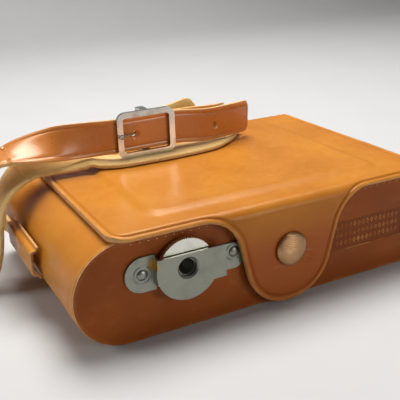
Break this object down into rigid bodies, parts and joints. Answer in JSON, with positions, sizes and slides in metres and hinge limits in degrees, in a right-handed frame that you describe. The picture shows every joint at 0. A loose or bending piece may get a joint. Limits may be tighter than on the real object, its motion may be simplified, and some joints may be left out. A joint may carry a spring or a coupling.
{
  "type": "folding camera in leather ever-ready case",
  "caption": "Folding roll-film camera in its closed leather ever-ready case, with a snap tongue, tripod bracket and buckled neck strap",
  "frame": {"origin": "centre of the case's back face, on the plane the case lies on", "axes": "+X along the case, -Y out of the case's bottom with the tripod bracket, +Z out of the case's front (the lid)"},
  "size_m": [0.2611, 0.1729, 0.0707],
  "materials": {
    "case_leather": "waxed vegetable-tanned hide",
    "plate_leather": "dark worn hide",
    "strap_leather": "creased strap hide",
    "strap_suede": "flesh side",
    "lining": "short nap",
    "nickel": "dull nickel plate",
    "bright_nickel": "bright nickel plate",
    "bronze": "antiqued",
    "brass": "plain",
    "black_enamel": "stove enamel",
    "leatherette": "grained covering",
    "cast_body": "die cast",
    "bellows_cloth": "pleated",
    "lens_glass": "coated",
    "red_glass": "ruby",
    "spool_paint": "red enamel",
    "film_paper": "backing paper",
    "spring_steel": "tempered"
  },
  "bodies": {
    "root": {"case_shell": "case_leather", "bottom_plate": "plate_leather", "corner_panels": "case_leather", "back_hinge": "case_leather", "case_lining": "lining", "left_keeper": "case_leather", "right_keeper": "case_leather", "bracket": "nickel", "bracket_rivets": "nickel", "snap_stud": "bright_nickel", "strap_holed_slack": "strap_leather", "strap_buckled_slack": "strap_leather", "camera_body": "leatherette", "back_door": "leatherette", "back_hinge_pin": "spring_steel", "tripod_bush": "brass", "bed_door": "leatherette", "bed_hinge_pin": "spring_steel", "bed_struts": "bright_nickel", "bellows": "bellows_cloth", "lens_board": "black_enamel", "shutter_case": "cast_body", "shutter_blades": "spring_steel", "iris_blades": "spring_steel", "rear_lens": "lens_glass", "film_strip": "film_paper", "spool_pins": "spring_steel", "roller_pins": "spring_steel", "pressure_plate": "black_enamel", "pressure_springs": "spring_steel", "red_window": "red_glass", "top_housing": "cast_body", "finder_lenses": "lens_glass", "release_spring": "spring_steel"},
    "lid": {"lid_flap": "case_leather", "lid_lining": "lining", "snap_cap": "bronze", "snap_socket": "bright_nickel", "strap_holed": "strap_leather", "strap_buckled": "strap_leather", "buckle_frame": "nickel", "buckle_pin": "nickel"},
    "top_cover": {"top_cover": "case_leather"},
    "prong": {"buckle_prong": "bright_nickel"},
    "retaining_screw": {"retaining_wheel": "nickel", "retaining_screw": "nickel", "screw_washer": "spring_steel"},
    "winding_knob": {"winding_knob": "bright_nickel"},
    "takeup_spool": {"takeup_spool": "spool_paint"},
    "feed_spool": {"feed_spool": "spool_paint", "film_roll": "film_paper"},
    "roller_left": {"roller_left": "spring_steel"},
    "roller_right": {"roller_right": "spring_steel"},
    "release_button": {"release_button": "bright_nickel"},
    "window_cover": {"window_cover": "bright_nickel"},
    "focus_ring": {"focus_ring": "black_enamel", "front_lens": "lens_glass"},
    "speed_ring": {"speed_ring": "bright_nickel"},
    "aperture_lever": {"aperture_lever": "bright_nickel"},
    "cocking_lever": {"cocking_lever": "bright_nickel"}
  },
  "joints": [
    {"name": "lid_fold", "type": "hinge", "parent": "top_cover", "child": "lid", "pos_m": [0, 0.0556, 0.0434], "axis": [-1, 0, 0], "range_deg": [0, 80]},
    {"name": "cover_fold", "type": "hinge", "parent": "root", "child": "top_cover", "pos_m": [0, 0.0558, 0.0013], "axis": [-1, 0, 0], "range_deg": [0, 40]},
    {"name": "prong_lift", "type": "hinge", "parent": "lid", "child": "prong", "pos_m": [-0.0275, 0.02208, 0.0585], "axis": [0, 0, 1], "range_deg": [0, 8]},
    {"name": "retaining_screw_turn", "type": "hinge", "parent": "root", "child": "retaining_screw", "pos_m": [-0.0458, -0.054, 0.0278], "axis": [0, -1, 0], "continuous": true},
    {"name": "winding_knob_turn", "type": "hinge", "parent": "root", "child": "winding_knob", "pos_m": [-0.066, 0.045, 0.0204], "axis": [0, 1, 0], "continuous": true},
    {"name": "takeup_spool_turn", "type": "hinge", "parent": "root", "child": "takeup_spool", "pos_m": [-0.066, -0.004, 0.0204], "axis": [0, 1, 0], "continuous": true},
    {"name": "feed_spool_turn", "type": "hinge", "parent": "root", "child": "feed_spool", "pos_m": [0.066, -0.004, 0.0204], "axis": [0, 1, 0], "continuous": true},
    {"name": "roller_left_turn", "type": "hinge", "parent": "root", "child": "roller_left", "pos_m": [-0.0554, -0.004, 0.0112], "axis": [0, 1, 0], "continuous": true},
    {"name": "roller_right_turn", "type": "hinge", "parent": "root", "child": "roller_right", "pos_m": [0.0554, -0.004, 0.0112], "axis": [0, 1, 0], "continuous": true},
    {"name": "release_press", "type": "slide", "parent": "root", "child": "release_button", "axis": [0, -1, 0], "range_m": [0, 0.0014], "stiffness_N_per_m": 200, "deforming": ["release_spring"]},
    {"name": "window_slide", "type": "slide", "parent": "root", "child": "window_cover", "axis": [1, 0, 0], "range_m": [0, 0.012]},
    {"name": "focus_turn", "type": "hinge", "parent": "root", "child": "focus_ring", "pos_m": [0, -0.002, 0.03], "axis": [0, 0, 1], "range_deg": [0, 270]},
    {"name": "speed_turn", "type": "hinge", "parent": "root", "child": "speed_ring", "pos_m": [0, -0.002, 0.03], "axis": [0, 0, 1], "range_deg": [0, 120]},
    {"name": "aperture_turn", "type": "hinge", "parent": "root", "child": "aperture_lever", "pos_m": [0, -0.002, 0.024], "axis": [0, 0, 1], "range_deg": [0, 50]},
    {"name": "cocking_turn", "type": "hinge", "parent": "root", "child": "cocking_lever", "pos_m": [0, -0.002, 0.027], "axis": [0, 0, 1], "range_deg": [0, 40]}
  ],
  "couplings": [
    {"joint": "cover_fold", "follows": "lid_fold", "ratio": 0.5},
    {"joint": "takeup_spool_turn", "follows": "winding_knob_turn", "ratio": 1},
    {"joint": "feed_spool_turn", "follows": "winding_knob_turn", "ratio": 0.65},
    {"joint": "roller_left_turn", "follows": "winding_knob_turn", "ratio": -2.7},
    {"joint": "roller_right_turn", "follows": "winding_knob_turn", "ratio": -2.7}
  ]
}
